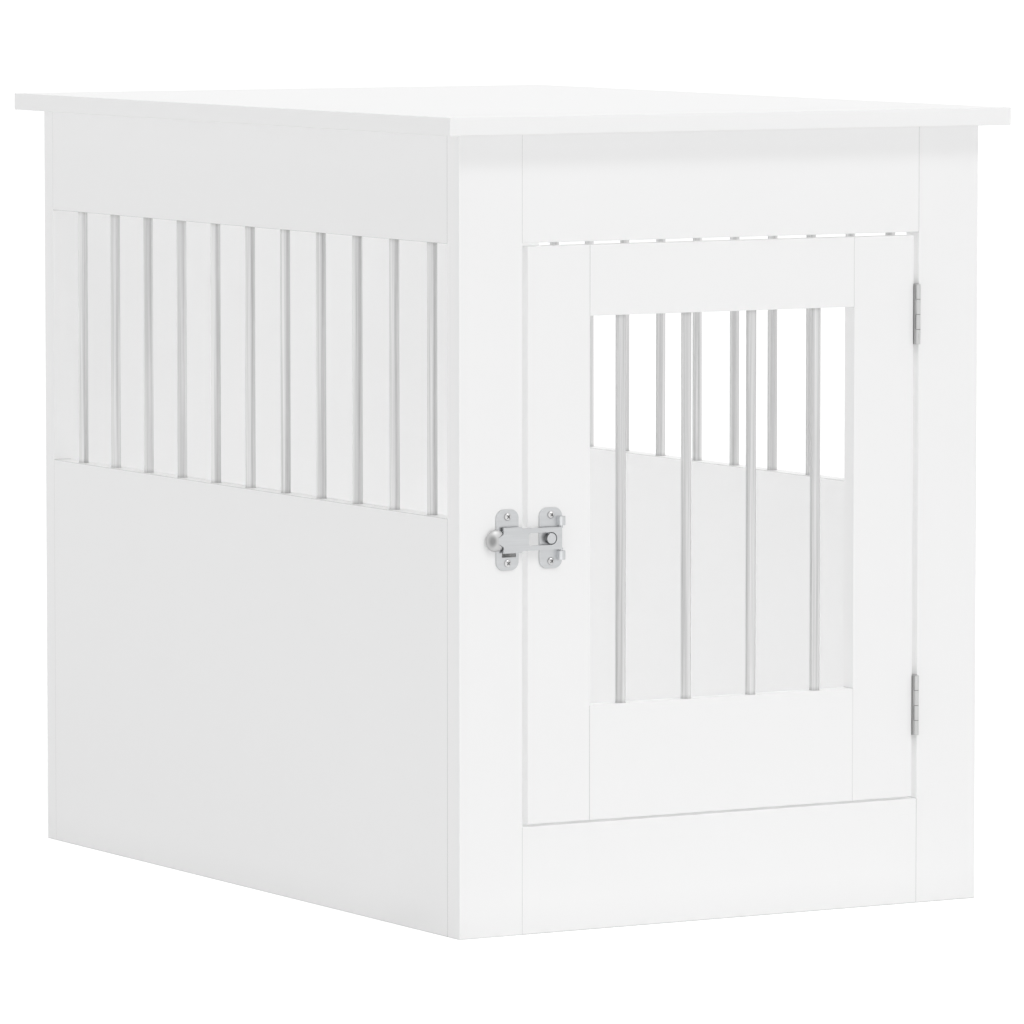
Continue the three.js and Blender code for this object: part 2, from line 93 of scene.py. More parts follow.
class CrateBoards(bpy.types.PropertyGroup):
    """The white boards of the cabinet and the door."""

    colour: bpy.props.FloatVectorProperty(
        name="Colour", description="Colour of the boards' surface",
        subtype="COLOR", size=3, min=0, max=1, default=(0.89, 0.89, 0.89))
    roughness: bpy.props.FloatProperty(
        name="Roughness", description="How matt the boards are", subtype="FACTOR",
        min=0, max=1, default=0.42)
    edge_radius: bpy.props.FloatProperty(
        name="Edge Radius", description="Radius of the softened edges of a board",
        subtype="DISTANCE", unit="LENGTH", min=0, default=0.6 * MM)
    grain_size: bpy.props.FloatProperty(
        name="Grain Size", description="Size of the fine texture pressed into the surface",
        subtype="DISTANCE", unit="LENGTH", min=0.1 * MM, default=1.4 * MM)
    grain_depth: bpy.props.FloatProperty(
        name="Grain Depth", description="Depth of the fine texture",
        subtype="DISTANCE", unit="LENGTH", min=0, default=0.012 * MM)
    # painted shade: ambient occlusion darkens the grooves between boards
    joint_reach: bpy.props.FloatProperty(
        name="Joint Reach", description="How far the dark of a joint spreads",
        subtype="DISTANCE", unit="LENGTH", min=0, default=1 * MM)
    joint_shade: bpy.props.FloatProperty(
        name="Joint Shade", description="How much darker the grooves between boards are",
        subtype="FACTOR", min=0, max=1, default=0.6)
    # painted shade on the side boards' rounded edges
    side_edge_shade: bpy.props.FloatProperty(
        name="Side Edge Loss", description="How much darker the side boards' edges are",
        subtype="FACTOR", min=0, max=1, default=0.5)
    # painted shade: ambient occlusion darkens a board below an overhang and in inside corners
    overhang_reach: bpy.props.FloatProperty(
        name="Overhang Reach", description="How far the faint dark below an overhang spreads",
        subtype="DISTANCE", unit="LENGTH", min=0, default=30 * MM)
    overhang_shade: bpy.props.FloatProperty(
        name="Overhang Shade", description="How much darker a board is right below an overhang",
        subtype="FACTOR", min=0, max=1, default=0.08)


class CrateMetal(bpy.types.PropertyGroup):
    """The steel bars, the hinges, the latch and the screws."""

    bar_colour: bpy.props.FloatVectorProperty(
        name="Bars", description="Colour of the steel bars",
        subtype="COLOR", size=3, min=0, max=1, default=(0.66, 0.66, 0.66))
    hinge_colour: bpy.props.FloatVectorProperty(
        name="Hinges", description="Colour of the hinges",
        subtype="COLOR", size=3, min=0, max=1, default=(0.60, 0.60, 0.60))
    latch_colour: bpy.props.FloatVectorProperty(
        name="Latch", description="Colour of the latch's sheet metal",
        subtype="COLOR", size=3, min=0, max=1, default=(0.60, 0.61, 0.62))
    knob_colour: bpy.props.FloatVectorProperty(
        name="Knob", description="Colour of the latch's domed knob",
        subtype="COLOR", size=3, min=0, max=1, default=(0.60, 0.60, 0.60))
    screw_colour: bpy.props.FloatVectorProperty(
        name="Screws", description="Colour of the screws",
        subtype="COLOR", size=3, min=0, max=1, default=(0.66, 0.66, 0.66))
    edge_radius: bpy.props.FloatProperty(
        name="Edge Radius", description="Radius of the softened edges of hinges and post",
        subtype="DISTANCE", unit="LENGTH", min=0, default=0.22 * MM)
    sheet_edge_radius: bpy.props.FloatProperty(
        name="Sheet Edge Radius", description="Radius of the softened edges of plates and strap",
        subtype="DISTANCE", unit="LENGTH", min=0, default=0.45 * MM)


class CrateStudio(bpy.types.PropertyGroup):
    """The floor, the light and the camera."""

    sky: bpy.props.FloatProperty(
        name="Sky", description="Strength of the even light from all round", min=0, default=0.55)
    key: bpy.props.FloatProperty(
        name="Key", description="Strength of the soft lamp high on the right", min=0, default=0.6)
    front_fill: bpy.props.FloatProperty(
        name="Front Fill", description="Shadowless light on the faces towards the front",
        min=0, default=0.62)
    side_fill: bpy.props.FloatProperty(
        name="Side Fill", description="Shadowless light on the faces towards the other sides",
        min=0, default=0.54)
    top_fill: bpy.props.FloatProperty(
        name="Top Fill", description="Shadowless light on the faces that look up",
        min=0, default=0.65)
    key_spread: bpy.props.FloatProperty(
        name="Key Spread", description="Angle that the soft lamp fills", subtype="ANGLE",
        unit="ROTATION", min=0, max=math.pi, default=math.radians(16))
    fill_spread: bpy.props.FloatProperty(
        name="Fill Spread", description="Angle that each shadowless lamp fills",
        subtype="ANGLE", unit="ROTATION", min=0, max=math.pi, default=math.radians(60))
    floor_colour: bpy.props.FloatVectorProperty(
        name="Floor", description="Colour of the floor", subtype="COLOR", size=3,
        min=0, max=1, default=(0.7, 0.7, 0.7))
    azimuth: bpy.props.FloatProperty(
        name="Azimuth", description="Direction of the camera round the crate, 0 in front",
        subtype="ANGLE", unit="ROTATION", default=math.radians(-30.092))
    elevation: bpy.props.FloatProperty(
        name="Elevation", description="Height of the camera above the horizon",
        subtype="ANGLE", unit="ROTATION", default=math.radians(4.882))
    distance: bpy.props.FloatProperty(
        name="Distance", description="Distance of the camera from its target",
        subtype="DISTANCE", unit="LENGTH", min=0, default=6.614)
    target: bpy.props.FloatVectorProperty(
        name="Target", description="Point in the middle of the picture",
        subtype="TRANSLATION", unit="LENGTH", size=3, default=(0.0153, 0, 0.3155))
    lens: bpy.props.FloatProperty(
        name="Lens", description="Focal length in millimetres, on a 36 mm sensor",
        min=1, default=262.75)


# ----------------------------------------------------------- shader node groups

FINE_DETAIL = 3  # octaves of the noise, as in the next two
CLOUD_DETAIL = 2
BAND_DETAIL = 1
OCCLUSION_SAMPLES = 12
SPOT_CORE = 0.25  # the share of a spot's radius that is wholly dark
FLANK_NORMALS = (-0.15, -0.55)  # how far left a face looks, where the flank begins and is full
EDGE_NORMALS = (0.998, 0.93)  # greatest part of the normal, on a flat face and on an edge
KEPT_EDGE_ANGLE = math.radians(50)  # only sharper edges are rounded, or hard in the shading


def shader_group(name, inputs, outputs):
    """An empty shader node group with float, colour or vector sockets."""
    group = bpy.data.node_groups.new(name, "ShaderNodeTree")
    for label, kind, default in inputs:
        socket = group.interface.new_socket(label, in_out="INPUT", socket_type=kind)
        socket.default_value = default
    for label, kind in outputs:
        group.interface.new_socket(label, in_out="OUTPUT", socket_type=kind)
    entry = group.nodes.new("NodeGroupInput")
    result = group.nodes.new("NodeGroupOutput")
    return group, entry, result


def math_node(tree, operation, *operands):
    """The result of a Math node; each operand is a socket or a number."""
    node = tree.nodes.new("ShaderNodeMath")
    node.operation = operation
    for socket, value in zip(node.inputs, operands):
        if isinstance(value, bpy.types.NodeSocket):
            tree.links.new(value, socket)
        else:
            socket.default_value = value
    return node.outputs[0]


def vector_node(tree, operation, first, second=None):
    """A Vector Math node; each operand is a socket."""
    node = tree.nodes.new("ShaderNodeVectorMath")
    node.operation = operation
    tree.links.new(first, node.inputs[0])
    if second:
        tree.links.new(second, node.inputs[1])
    return node


def ramp_node(tree, value, start, end, interpolation="LINEAR"):
    """A socket that runs from 0 to 1 as value runs from start to end."""
    node = tree.nodes.new("ShaderNodeMapRange")
    node.interpolation_type = interpolation
    node.inputs["From Min"].default_value = start
    node.inputs["From Max"].default_value = end
    tree.links.new(value, node.inputs["Value"])
    return node.outputs["Result"]


def fine_grain_group():
    """Fine even texture of a pressed or painted surface, with broad faint clouds."""
    group, entry, result = shader_group(
        "Fine Grain",
        [("Size", "NodeSocketFloat", 1.4 * MM), ("Cloud Size", "NodeSocketFloat", 0.12)],
        [("Grain", "NodeSocketFloat"), ("Clouds", "NodeSocketFloat")])
    place = group.nodes.new("ShaderNodeTexCoord").outputs["Object"]
    for socket, output, detail in (("Size", "Grain", FINE_DETAIL),
                                   ("Cloud Size", "Clouds", CLOUD_DETAIL)):
        noise = group.nodes.new("ShaderNodeTexNoise")
        noise.inputs["Detail"].default_value = detail
        group.links.new(place, noise.inputs["Vector"])
        scale = math_node(group, "DIVIDE", 1, entry.outputs[socket])
        group.links.new(scale, noise.inputs["Scale"])
        group.links.new(noise.outputs["Fac"], result.inputs[output])
    return group


def brushed_group():
    """Lines of a brush or a drawing die, long in one direction and fine across it."""
    group, entry, result = shader_group(
        "Brushed Lines",
        [("Lines per Metre", "NodeSocketVector", (1500, 1500, 10)),
         ("Coarse Share", "NodeSocketFloat", 0.3)],
        [("Lines", "NodeSocketFloat"), ("Bands", "NodeSocketFloat")])
    place = group.nodes.new("ShaderNodeTexCoord").outputs["Object"]
    stretch = vector_node(group, "MULTIPLY", place, entry.outputs["Lines per Metre"])
    fine = group.nodes.new("ShaderNodeTexNoise")
    fine.inputs["Scale"].default_value = 1
    fine.inputs["Detail"].default_value = FINE_DETAIL
    group.links.new(stretch.outputs[0], fine.inputs["Vector"])
    group.links.new(fine.outputs["Fac"], result.inputs["Lines"])
    coarse = group.nodes.new("ShaderNodeTexNoise")
    coarse.inputs["Detail"].default_value = BAND_DETAIL
    group.links.new(stretch.outputs[0], coarse.inputs["Vector"])
    group.links.new(entry.outputs["Coarse Share"], coarse.inputs["Scale"])
    group.links.new(coarse.outputs["Fac"], result.inputs["Bands"])
    return group


def crevice_group():
    """Ambient occlusion: 1 in the open, falling to 0 deep in a groove or where two pieces meet;
    the materials darken by it as painted shade.
    """
    group, entry, result = shader_group(
        "Crevice",
        [("Reach", "NodeSocketFloat", 2 * MM)],
        [("Open", "NodeSocketFloat")])
    occlusion = group.nodes.new("ShaderNodeAmbientOcclusion")
    occlusion.samples = OCCLUSION_SAMPLES
    group.links.new(entry.outputs["Reach"], occlusion.inputs["Distance"])
    group.links.new(occlusion.outputs["AO"], result.inputs["Open"])
    return group


def soft_spot_group():
    """0 in the middle of an upright soft-edged spot, rising to 1 outside it."""
    group, entry, result = shader_group(
        "Soft Spot",
        [("Centre", "NodeSocketVector", (0, 0, 0)),
         ("Scale", "NodeSocketVector", (100, 100, 100))],
        [("Outside", "NodeSocketFloat")])
    place = group.nodes.new("ShaderNodeTexCoord").outputs["Object"]
    offset = vector_node(group, "SUBTRACT", place, entry.outputs["Centre"])
    scaled = vector_node(group, "MULTIPLY", offset.outputs[0], entry.outputs["Scale"])
    reach = vector_node(group, "LENGTH", scaled.outputs[0]).outputs["Value"]
    ramp = ramp_node(group, reach, SPOT_CORE, 1, "SMOOTHSTEP")
    group.links.new(ramp, result.inputs["Outside"])
    return group


def left_flank_group():
    """1 on faces that look to the piece's left, 0 on faces that look any other way."""
    group, _, result = shader_group("Left Flank", [], [("Flank", "NodeSocketFloat")])
    parts = group.nodes.new("ShaderNodeSeparateXYZ")
    normal = group.nodes.new("ShaderNodeTexCoord").outputs["Normal"]
    group.links.new(normal, parts.inputs[0])
    ramp = ramp_node(group, parts.outputs["X"], *FLANK_NORMALS, "SMOOTHSTEP")
    group.links.new(ramp, result.inputs["Flank"])
    return group


def rounded_edge_group():
    """0 on the flat faces of a square-cut board, 1 on its rounded edges."""
    group, _, result = shader_group("Rounded Edge", [], [("Edge", "NodeSocketFloat")])
    normal = group.nodes.new("ShaderNodeTexCoord").outputs["Normal"]
    size = vector_node(group, "ABSOLUTE", normal)
    parts = group.nodes.new("ShaderNodeSeparateXYZ")
    group.links.new(size.outputs[0], parts.inputs[0])
    greatest = math_node(group, "MAXIMUM", parts.outputs["X"], parts.outputs["Y"])
    greatest = math_node(group, "MAXIMUM", greatest, parts.outputs["Z"])
    group.links.new(ramp_node(group, greatest, *EDGE_NORMALS), result.inputs["Edge"])
    return group


def smoothing_tree():
    """Geometry nodes that smooth all faces but keep edges sharper than the limit."""
    tree = bpy.data.node_groups.new("Smooth Faces", "GeometryNodeTree")
    tree.interface.new_socket("Geometry", in_out="INPUT", socket_type="NodeSocketGeometry")
    limit = tree.interface.new_socket("Limit", in_out="INPUT", socket_type="NodeSocketFloat")
    limit.default_value = KEPT_EDGE_ANGLE
    tree.interface.new_socket("Geometry", in_out="OUTPUT", socket_type="NodeSocketGeometry")
    entry = tree.nodes.new("NodeGroupInput")
    result = tree.nodes.new("NodeGroupOutput")
    faces = tree.nodes.new("GeometryNodeSetShadeSmooth")
    edges = tree.nodes.new("GeometryNodeSetShadeSmooth")
    edges.domain = "EDGE"
    edges.inputs["Shade Smooth"].default_value = False
    angle = tree.nodes.new("GeometryNodeInputMeshEdgeAngle")
    sharp = tree.nodes.new("FunctionNodeCompare")
    sharp.operation = "GREATER_THAN"
    tree.links.new(angle.outputs["Unsigned Angle"], sharp.inputs["A"])
    tree.links.new(entry.outputs["Limit"], sharp.inputs["B"])
    tree.links.new(entry.outputs["Geometry"], faces.inputs["Geometry"])
    tree.links.new(faces.outputs["Geometry"], edges.inputs["Geometry"])
    tree.links.new(sharp.outputs["Result"], edges.inputs["Selection"])
    tree.links.new(edges.outputs["Geometry"], result.inputs["Geometry"])
    return tree


GROUP_MAKERS = {
    "grain": fine_grain_group,
    "brushed": brushed_group,
    "crevice": crevice_group,
    "spot": soft_spot_group,
    "flank": left_flank_group,
    "edge": rounded_edge_group,
    "smooth": smoothing_tree,
}
made_groups = {}


def shared_group(kind):
    """The node group of one kind, made when it is first asked for."""
    if kind not in made_groups:
        made_groups[kind] = GROUP_MAKERS[kind]()
    return made_groups[kind]


def effect(material, kind, **values):
    """Places a shared effect in a material, with its own values."""
    node = material.node_tree.nodes.new("ShaderNodeGroup")
    node.node_tree = shared_group(kind)
    for label, value in values.items():
        node.inputs[label.replace("_", " ")].default_value = value
    return node


# -------------------------------------------------------------------- materials

NOISE_MIDDLE = (0.3, 0.7)  # most of a noise's values lie between these
CLOUD_SHARE = 0.993  # the least share of the boards' colour
BOARD_ROUGHNESS_VARIES = 0.03
METAL_ROUGHNESS_VARIES = 0.05


def new_material(name):
    """A material with a Principled shader and nothing else."""
    material = bpy.data.materials.new(name)
    material.use_nodes = True
    shader = next(n for n in material.node_tree.nodes if n.type == "BSDF_PRINCIPLED")
    return material, shader


def vary(material, value, low, high):
    """A socket that runs from low to high as value runs over the middle of a noise."""
    result = ramp_node(material.node_tree, value, *NOISE_MIDDLE)
    result.node.inputs["To Min"].default_value = low
    result.node.inputs["To Max"].default_value = high
    return result


def less(tree, mask, loss):
    """1 where the mask is 1, falling by the loss where the mask is 0."""
    return math_node(tree, "MULTIPLY_ADD", mask, loss, 1 - loss)


def tint(material, shader, colour, share):
    """Base colour times a share that changes over the surface."""
    tree = material.node_tree
    scale = tree.nodes.new("ShaderNodeVectorMath")
    scale.operation = "SCALE"
    scale.inputs[0].default_value = colour
    tree.links.new(share, scale.inputs["Scale"])
    tree.links.new(scale.outputs[0], shader.inputs["Base Color"])


def bump(material, shader, height, depth):
    """A Bump node of a given depth in metres that feeds the shader's normal."""
    tree = material.node_tree
    node = tree.nodes.new("ShaderNodeBump")
    node.inputs["Distance"].default_value = depth
    tree.links.new(height, node.inputs["Height"])
    tree.links.new(node.outputs["Normal"], shader.inputs["Normal"])


def product(tree, *shares):
    """All shares multiplied."""
    result = shares[0]
    for share in shares[1:]:
        result = math_node(tree, "MULTIPLY", result, share)
    return result


def board_material(looks, hole=None, edge_shade=0):
    """Smooth satin white, with a fine pressed texture, and painted shade in its joints and below
    overhangs.

    hole is the middle of a bolt hole that gets painted shade inside, and the edge argument
    is how much painted shade darkens the rounded edges.
    """
    material, shader = new_material("white_board_satin")
    tree = material.node_tree
    grain = effect(material, "grain", Size=looks.grain_size)
    # ambient occlusion over a short and a long reach: painted shade in the joints and below
    # overhangs
    joint = effect(material, "crevice", Reach=looks.joint_reach)
    overhang = effect(material, "crevice", Reach=looks.overhang_reach)
    shares = [vary(material, grain.outputs["Clouds"], CLOUD_SHARE, 1),
              less(tree, joint.outputs["Open"], looks.joint_shade),
              less(tree, overhang.outputs["Open"], looks.overhang_shade)]
    # painted shade along the rounded edges
    if edge_shade:
        edge = effect(material, "edge").outputs["Edge"]
        shares.append(math_node(tree, "MULTIPLY_ADD", edge, -edge_shade, 1))
    # painted shade in the recess behind the keeper's slot
    if hole:
        spot = effect(material, "spot", Centre=hole,
                      Scale=tuple(1 / reach for reach in BOLT_HOLE_REACH))
        shares.append(less(tree, spot.outputs["Outside"], BOLT_HOLE_SHADE))
    tint(material, shader, looks.colour, product(tree, *shares))
    rough = vary(material, grain.outputs["Clouds"], looks.roughness - BOARD_ROUGHNESS_VARIES,
                 looks.roughness + BOARD_ROUGHNESS_VARIES)
    tree.links.new(rough, shader.inputs["Roughness"])
    bump(material, shader, grain.outputs["Grain"], looks.grain_depth)
    return material


def brushed_material(name, colour, lines, roughness, contrast, shade, reach, depth,
                     flank=1, spot=None, spot_shade=0):
    """Brushed metal, with painted shade where it meets its neighbours.

    flank is the left-facing faces' share of the colour, painted light above 1 on cut edges,
    painted shade below 1 on a wall deep in a hole. spot holds a soft painted dark reflection.
    """
    material, shader = new_material(name)
    tree = material.node_tree
    shader.inputs["Metallic"].default_value = 1
    brushed = effect(material, "brushed", Lines_per_Metre=lines)
    crevice = effect(material, "crevice", Reach=reach)
    shares = [vary(material, brushed.outputs["Lines"], 1 - contrast, 1 + contrast),
              vary(material, brushed.outputs["Bands"], 1 - contrast, 1 + contrast),
              less(tree, crevice.outputs["Open"], shade)]
    if flank != 1:
        mask = effect(material, "flank").outputs["Flank"]
        shares.append(math_node(tree, "MULTIPLY_ADD", mask, flank - 1, 1))
    if spot:
        outside = effect(material, "spot", **spot).outputs["Outside"]
        shares.append(less(tree, outside, spot_shade))
    tint(material, shader, colour, product(tree, *shares))
    rough = vary(material, brushed.outputs["Lines"], roughness - METAL_ROUGHNESS_VARIES,
                 roughness + METAL_ROUGHNESS_VARIES)
    tree.links.new(rough, shader.inputs["Roughness"])
    bump(material, shader, brushed.outputs["Lines"], depth)
    return material


# ----------------------------------------------------------------- mesh helpers

SHARP_ANGLE = math.radians(40)  # faces that meet at less are one smooth surface
CORNER_GAP = 0.001 * MM  # corners closer than this are one
FLAT_ANGLE = math.radians(0.5)  # faces that meet at less are one plane
EDGE_STEPS = 3
CUT_MARGIN = 1 * MM  # how far a cutter stands out of what it cuts
RECESS_TAPER = 0.6  # a cross recess's share of its own size, at its base


def add_piece(name, mesh, material, body):
    """Links a mesh as a piece of the crate that rides on one body."""
    mesh.materials.append(material)
    piece = bpy.data.objects.new(name, mesh)
    bpy.context.scene.collection.objects.link(piece)
    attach(piece, body)
    return piece


def finished_mesh(name, shape):
    """A mesh made of a bmesh, smooth but for its sharp edges."""
    bmesh.ops.recalc_face_normals(shape, faces=shape.faces)
    for face in shape.faces:
        face.smooth = True
    for edge in shape.edges:
        edge.smooth = edge.calc_face_angle(0) < SHARP_ANGLE
    mesh = bpy.data.meshes.new(name)
    shape.to_mesh(mesh)
    shape.free()
    return mesh


def turned(profile, sides):
    """A closed turned shape about Z; the profile is (radius, height), on the axis at both ends."""
    shape = bmesh.new()
    rings = []
    for radius, height in profile:
        if radius == 0:
            rings.append([shape.verts.new((0, 0, height))])
            continue
        angles = [2 * math.pi * step / sides for step in range(sides)]
        rings.append([shape.verts.new((radius * math.cos(a), radius * math.sin(a), height))
                      for a in angles])
    for lower, upper in zip(rings, rings[1:]):
        for step in range(sides):
            after = (step + 1) % sides
            corners = [lower[step % len(lower)], lower[after % len(lower)],
                       upper[after % len(upper)], upper[step % len(upper)]]
            shape.faces.new(list(dict.fromkeys(corners)))
    return shape


def carved(shape, cutters):
    """A bmesh with other bmeshes cut out of it."""
    mesh = bpy.data.meshes.new("blank")
    shape.to_mesh(mesh)
    shape.free()
    blank = bpy.data.objects.new("blank", mesh)
    bpy.context.scene.collection.objects.link(blank)
    tools = []
    for cutter in cutters:
        tool_mesh = bpy.data.meshes.new("cutter")
        cutter.to_mesh(tool_mesh)
        cutter.free()
        tool = bpy.data.objects.new("cutter", tool_mesh)
        bpy.context.scene.collection.objects.link(tool)
        tools.append(tool)
        step = blank.modifiers.new("cut", "BOOLEAN")
        step.object = tool
        step.solver = "EXACT"
    evaluated = blank.evaluated_get(bpy.context.evaluated_depsgraph_get())
    result = bmesh.new()
    result.from_mesh(evaluated.to_mesh())
    evaluated.to_mesh_clear()
    for spare in (blank, *tools):
        bpy.data.objects.remove(spare)
    return result


def tapered_block(width, length, top, base, taper):
    """A block about Z that narrows by taper at its base."""
    shape = bmesh.new()
    bmesh.ops.create_cube(shape, size=1)
    for corner in shape.verts:
        share = 1 if corner.co.z > 0 else taper
        corner.co = Vector((corner.co.x * length * share, corner.co.y * width * share,
                            top if corner.co.z > 0 else base))
    return shape


def cross_cutters(width, span, top, base, turn=0):
    """The two arms of a cross recess about Z, the first at the angle turn from X."""
    arms = []
    for angle in (turn, turn + math.pi / 2):
        arm = tapered_block(width, span, top, base, RECESS_TAPER)
        bmesh.ops.rotate(arm, verts=arm.verts, matrix=Matrix.Rotation(angle, 3, "Z"))
        arms.append(arm)
    return arms


def soften(node, radius):
    """Rounds a frame node's sharp edges with modifiers, and shades it smoothly."""
    weld = node.modifiers.new("join corners", "WELD")
    weld.merge_threshold = CORNER_GAP
    flat = node.modifiers.new("one face a plane", "DECIMATE")
    flat.decimate_type = "DISSOLVE"
    flat.angle_limit = FLAT_ANGLE
    edge = node.modifiers.new("soft edges", "BEVEL")
    edge.width = radius
    edge.segments = EDGE_STEPS
    edge.limit_method = "ANGLE"
    edge.angle_limit = KEPT_EDGE_ANGLE
    smooth = node.modifiers.new("smooth faces", "NODES")
    smooth.node_group = shared_group("smooth")
    normals = node.modifiers.new("flat stays flat", "WEIGHTED_NORMAL")
    normals.keep_sharp = True


def dress(name, material, radius):
    """Gives a frame node its finish and soft edges."""
    node = frame["nodes"][name]
    node.material_slots[0].material = material
    soften(node, radius)


# ------------------------------------------------------------------- operators


class CRATE_OT_cabinet_boards(bpy.types.Operator):
    """Finish the cabinet's white boards"""

    bl_idname = "crate.cabinet_boards"
    bl_label = "Cabinet Boards"

    def execute(self, context):
        looks = context.scene.crate_boards
        material = board_material(looks)
        for name in nodes_of_slot("white_board"):
            if name not in (*DOOR_BOARDS, *SIDE_BOARDS, BOLT_LEG):
                dress(name, material, looks.edge_radius)
        # the side boards get painted shade along their rounded edges
        side_material = board_material(looks, edge_shade=looks.side_edge_shade)
        for name in SIDE_BOARDS:
            dress(name, side_material, looks.edge_radius)
        dress(BOLT_LEG, board_material(looks, BOLT_HOLE), looks.edge_radius)
        return {"FINISHED"}


class CRATE_OT_door_boards(bpy.types.Operator):
    """Finish the door's white boards"""

    bl_idname = "crate.door_boards"
    bl_label = "Door Boards"

    def execute(self, context):
        looks = context.scene.crate_boards
        material = board_material(looks)
        for name in DOOR_BOARDS:
            dress(name, material, looks.edge_radius)
        return {"FINISHED"}


class CRATE_OT_bars(bpy.types.Operator):
    """Make the round steel bars of both sides and of the door"""

    bl_idname = "crate.bars"
    bl_label = "Steel Bars"

    sides = 48
    end_chamfer = 0.3 * MM

    def execute(self, context):
        looks = context.scene.crate_metal
        # shade and reach: painted shade where the bars meet the boards
        material = brushed_material(
            "bar_drawn_steel", looks.bar_colour, lines=(1300, 1300, 9), roughness=0.34,
            contrast=0.14, shade=0.45, reach=4 * MM, depth=0.02 * MM)
        for name in nodes_of_slot("bar_steel"):
            low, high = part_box(name)
            radius = (high.x - low.x) / 2
            inner = radius - self.end_chamfer
            length = high.z - low.z
            shape = turned([(0, 0), (inner, 0), (radius, self.end_chamfer),
                            (radius, length - self.end_chamfer), (inner, length),
                            (0, length)], self.sides)
            place = ((low.x + high.x) / 2, (low.y + high.y) / 2, low.z)
            bmesh.ops.translate(shape, verts=shape.verts, vec=place)
            piece = add_piece(f"{name}_steel", finished_mesh(name, shape), material,
                              body_of_node(name))
            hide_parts(name)
        return {"FINISHED"}


class CRATE_OT_hinges(bpy.types.Operator):
    """Finish the hinges and add the countersunk screws in their leaves"""

    bl_idname = "crate.hinges"
    bl_label = "Hinges"

    head_radius = 2.4 * MM
    head_proud = 0.35 * MM
    head_sunk = 0.3 * MM
    screw_spacing = 30 * MM
    screw_depth = 9 * MM  # from the hinge pin back to the screws' axes
    leaf_thickness = 1.2 * MM
    dome = ((0.75, 0.7), (0.4, 0.95))  # shares of the head's radius and of its rise
    recess_width = 0.7 * MM
    recess_span = 2.8 * MM
    sides = 40

    def head(self):
        """A low domed head with a cross recess, about Z."""
        dome = [(self.head_radius * across, self.head_proud * up) for across, up in self.dome]
        shape = turned([(0, -self.head_sunk), (self.head_radius, -self.head_sunk),
                        (self.head_radius, 0), *dome, (0, self.head_proud)], self.sides)
        return carved(shape, cross_cutters(self.recess_width, self.recess_span, CUT_MARGIN, 0))

    def add_screws(self, leaf, inner_side, material):
        """Two screws in one leaf; inner_side is the side that faces the other leaf."""
        low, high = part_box(leaf)
        pin_low, pin_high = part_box(HINGE_PINS[0])
        pin_y = (pin_low.y + pin_high.y) / 2
        if inner_side > 0:
            face = low.x + self.leaf_thickness
        else:
            face = high.x - self.leaf_thickness
        for step, label in ((1, "upper"), (-1, "lower")):
            shape = self.head()
            turn = Matrix.Rotation(inner_side * math.pi / 2, 3, "Y")
            bmesh.ops.rotate(shape, verts=shape.verts, matrix=turn)
            height = (low.z + high.z) / 2 + step * self.screw_spacing / 2
            bmesh.ops.translate(shape, verts=shape.verts,
                                vec=(face, pin_y + self.screw_depth, height))
            name = f"{leaf}_{label}_screw"
            add_piece(name, finished_mesh(name, shape), material, body_of_node(leaf))

    def execute(self, context):
        looks = context.scene.crate_metal
        # shade and reach: strong painted shade where the knuckles and leaves meet the boards
        steel = brushed_material(
            "hinge_satin_steel", looks.hinge_colour, lines=(900, 900, 60), roughness=0.32,
            contrast=0.05, shade=0.95, reach=2.5 * MM, depth=0.01 * MM)
        # shade and reach: painted shade round the screw heads and in their recesses
        screws = brushed_material(
            "hinge_screw_steel", looks.screw_colour, lines=(700, 700, 700), roughness=0.25,
            contrast=0.04, shade=0.5, reach=1.5 * MM, depth=0.004 * MM)
        for name in (*LEG_LEAVES, *DOOR_LEAVES, *HINGE_PINS):
            dress(name, steel, looks.edge_radius / 2)
        for leaf in DOOR_LEAVES:
            self.add_screws(leaf, 1, screws)
        for leaf in LEG_LEAVES:
            self.add_screws(leaf, -1, screws)
        return {"FINISHED"}


